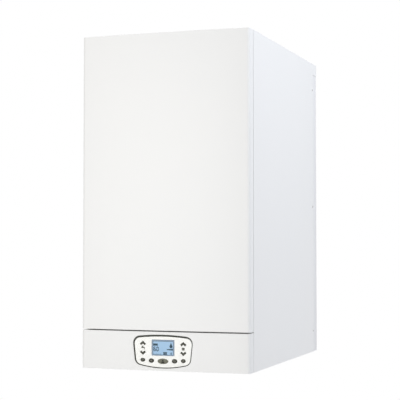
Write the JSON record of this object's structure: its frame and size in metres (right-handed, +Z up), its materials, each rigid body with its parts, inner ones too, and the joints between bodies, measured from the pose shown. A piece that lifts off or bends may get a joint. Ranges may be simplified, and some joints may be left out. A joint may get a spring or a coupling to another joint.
{
  "type": "wall-hung gas boiler",
  "caption": "Tall deep wall-hung condensing gas boiler: plain white casing, pull-off front cover, tilting control panel with display and keys, sealed burner and exchanger behind.",
  "frame": {"origin": "centre of the two hanging slots, on the wall plane at the back of the rear frame", "axes": "+X to the right as seen from the room, +Y into the wall, +Z up; the front faces -Y"},
  "size_m": [0.45, 0.6916, 0.91],
  "materials": {
    "casing_white": "smooth satin powder coat",
    "galvanised_steel": "galvanised sheet",
    "white_plastic": "satin moulding",
    "insert_plastic": "semi-gloss moulding",
    "key_plastic": "satin dark olive grey",
    "dark_seal": "matt",
    "display": "gloss, lit pale blue",
    "display_frame": "satin",
    "circuit_board": "varnished board",
    "terminal_green": "satin",
    "box_plastic": "satin",
    "lid_plastic": "satin",
    "dark_plastic": "satin",
    "zinc_steel": "zinc plated",
    "insulation_foam": "matt foam",
    "cast_aluminium": "as cast",
    "socket_plastic": "matt polypropylene",
    "silicone_seal": "matt silicone",
    "stainless_steel": "bright",
    "board_insulation": "matt ceramic fibre board",
    "brass": "bright",
    "ceramic_white": "glazed ceramic",
    "sight_glass": "clear",
    "fan_grey": "as cast",
    "wheel_plastic": "satin",
    "trap_plastic": "matt",
    "lead_silicone": "satin"
  },
  "bodies": {
    "casing": {"rear_frame": "casing_white", "hanging_bar": "galvanised_steel", "top_plate": "casing_white", "left_side_panel": "casing_white", "right_side_panel": "casing_white", "bottom_plate": "galvanised_steel", "front_rail": "galvanised_steel", "panel_brackets": "galvanised_steel", "hinge_pins": "zinc_steel", "cover_clips": "dark_plastic", "exchanger_cradles": "galvanised_steel", "casing_screws": "zinc_steel", "flue_collar": "socket_plastic", "flue_seal": "silicone_seal", "air_collar": "socket_plastic", "flue_duct": "socket_plastic", "exchanger_shell": "cast_aluminium", "exchanger_coil": "stainless_steel", "burner": "stainless_steel", "burner_door": "cast_aluminium", "door_insulation": "board_insulation", "door_nuts": "brass", "electrodes": "ceramic_white", "sight_glass": "sight_glass", "inlet_elbow": "cast_aluminium", "fan_housing": "fan_grey", "fan_motor": "dark_plastic", "gas_mixer": "cast_aluminium", "gas_valve": "cast_aluminium", "gas_pipe": "brass", "flow_pipe": "stainless_steel", "return_pipe": "stainless_steel", "air_vent": "brass", "condensate_trap": "trap_plastic", "ignition_transformer": "dark_plastic", "ignition_lead": "lead_silicone", "cable_glands": "lid_plastic"},
    "cover": {"front_cover": "casing_white", "cover_insulation": "insulation_foam", "cover_studs": "zinc_steel"},
    "panel": {"fascia": "white_plastic", "insert_seal": "dark_seal", "display_insert": "insert_plastic", "display_window": "display", "lcd_module": "display_frame", "display_board": "circuit_board", "control_box": "box_plastic", "control_box_lid": "lid_plastic", "main_board": "circuit_board", "terminal_block": "terminal_green"},
    "fan": {"fan_wheel": "wheel_plastic"},
    "left_up_key": {"left_up_key": "key_plastic"},
    "left_down_key": {"left_down_key": "key_plastic"},
    "right_up_key": {"right_up_key": "key_plastic"},
    "right_down_key": {"right_down_key": "key_plastic"},
    "reset_key": {"reset_key": "key_plastic"},
    "mode_key": {"mode_key": "key_plastic"},
    "menu_key": {"menu_key": "key_plastic"},
    "info_key": {"info_key": "key_plastic"},
    "power_key": {"power_key": "key_plastic"}
  },
  "joints": [
    {"name": "cover_pull", "type": "slide", "parent": "casing", "child": "cover", "axis": [0, -1, 0], "range_m": [0, 0.15]},
    {"name": "panel_tilt", "type": "hinge", "parent": "casing", "child": "panel", "pos_m": [0, -0.56, -0.764], "axis": [1, 0, 0], "range_deg": [0, 90]},
    {"name": "fan_spin", "type": "hinge", "parent": "casing", "child": "fan", "pos_m": [0, -0.531, -0.43], "axis": [1, 0, 0], "continuous": true},
    {"name": "left_up_key_press", "type": "slide", "parent": "panel", "child": "left_up_key", "axis": [0, 1, 0], "range_m": [0, 0.0008], "stiffness_N_per_m": 1500},
    {"name": "left_down_key_press", "type": "slide", "parent": "panel", "child": "left_down_key", "axis": [0, 1, 0], "range_m": [0, 0.0008], "stiffness_N_per_m": 1500},
    {"name": "right_up_key_press", "type": "slide", "parent": "panel", "child": "right_up_key", "axis": [0, 1, 0], "range_m": [0, 0.0008], "stiffness_N_per_m": 1500},
    {"name": "right_down_key_press", "type": "slide", "parent": "panel", "child": "right_down_key", "axis": [0, 1, 0], "range_m": [0, 0.0008], "stiffness_N_per_m": 1500},
    {"name": "reset_key_press", "type": "slide", "parent": "panel", "child": "reset_key", "axis": [0, 1, 0], "range_m": [0, 0.0008], "stiffness_N_per_m": 1500},
    {"name": "mode_key_press", "type": "slide", "parent": "panel", "child": "mode_key", "axis": [0, 1, 0], "range_m": [0, 0.0008], "stiffness_N_per_m": 1500},
    {"name": "menu_key_press", "type": "slide", "parent": "panel", "child": "menu_key", "axis": [0, 1, 0], "range_m": [0, 0.0008], "stiffness_N_per_m": 1500},
    {"name": "info_key_press", "type": "slide", "parent": "panel", "child": "info_key", "axis": [0, 1, 0], "range_m": [0, 0.0008], "stiffness_N_per_m": 1500},
    {"name": "power_key_press", "type": "slide", "parent": "panel", "child": "power_key", "axis": [0, 1, 0], "range_m": [0, 0.0008], "stiffness_N_per_m": 1500}
  ]
}
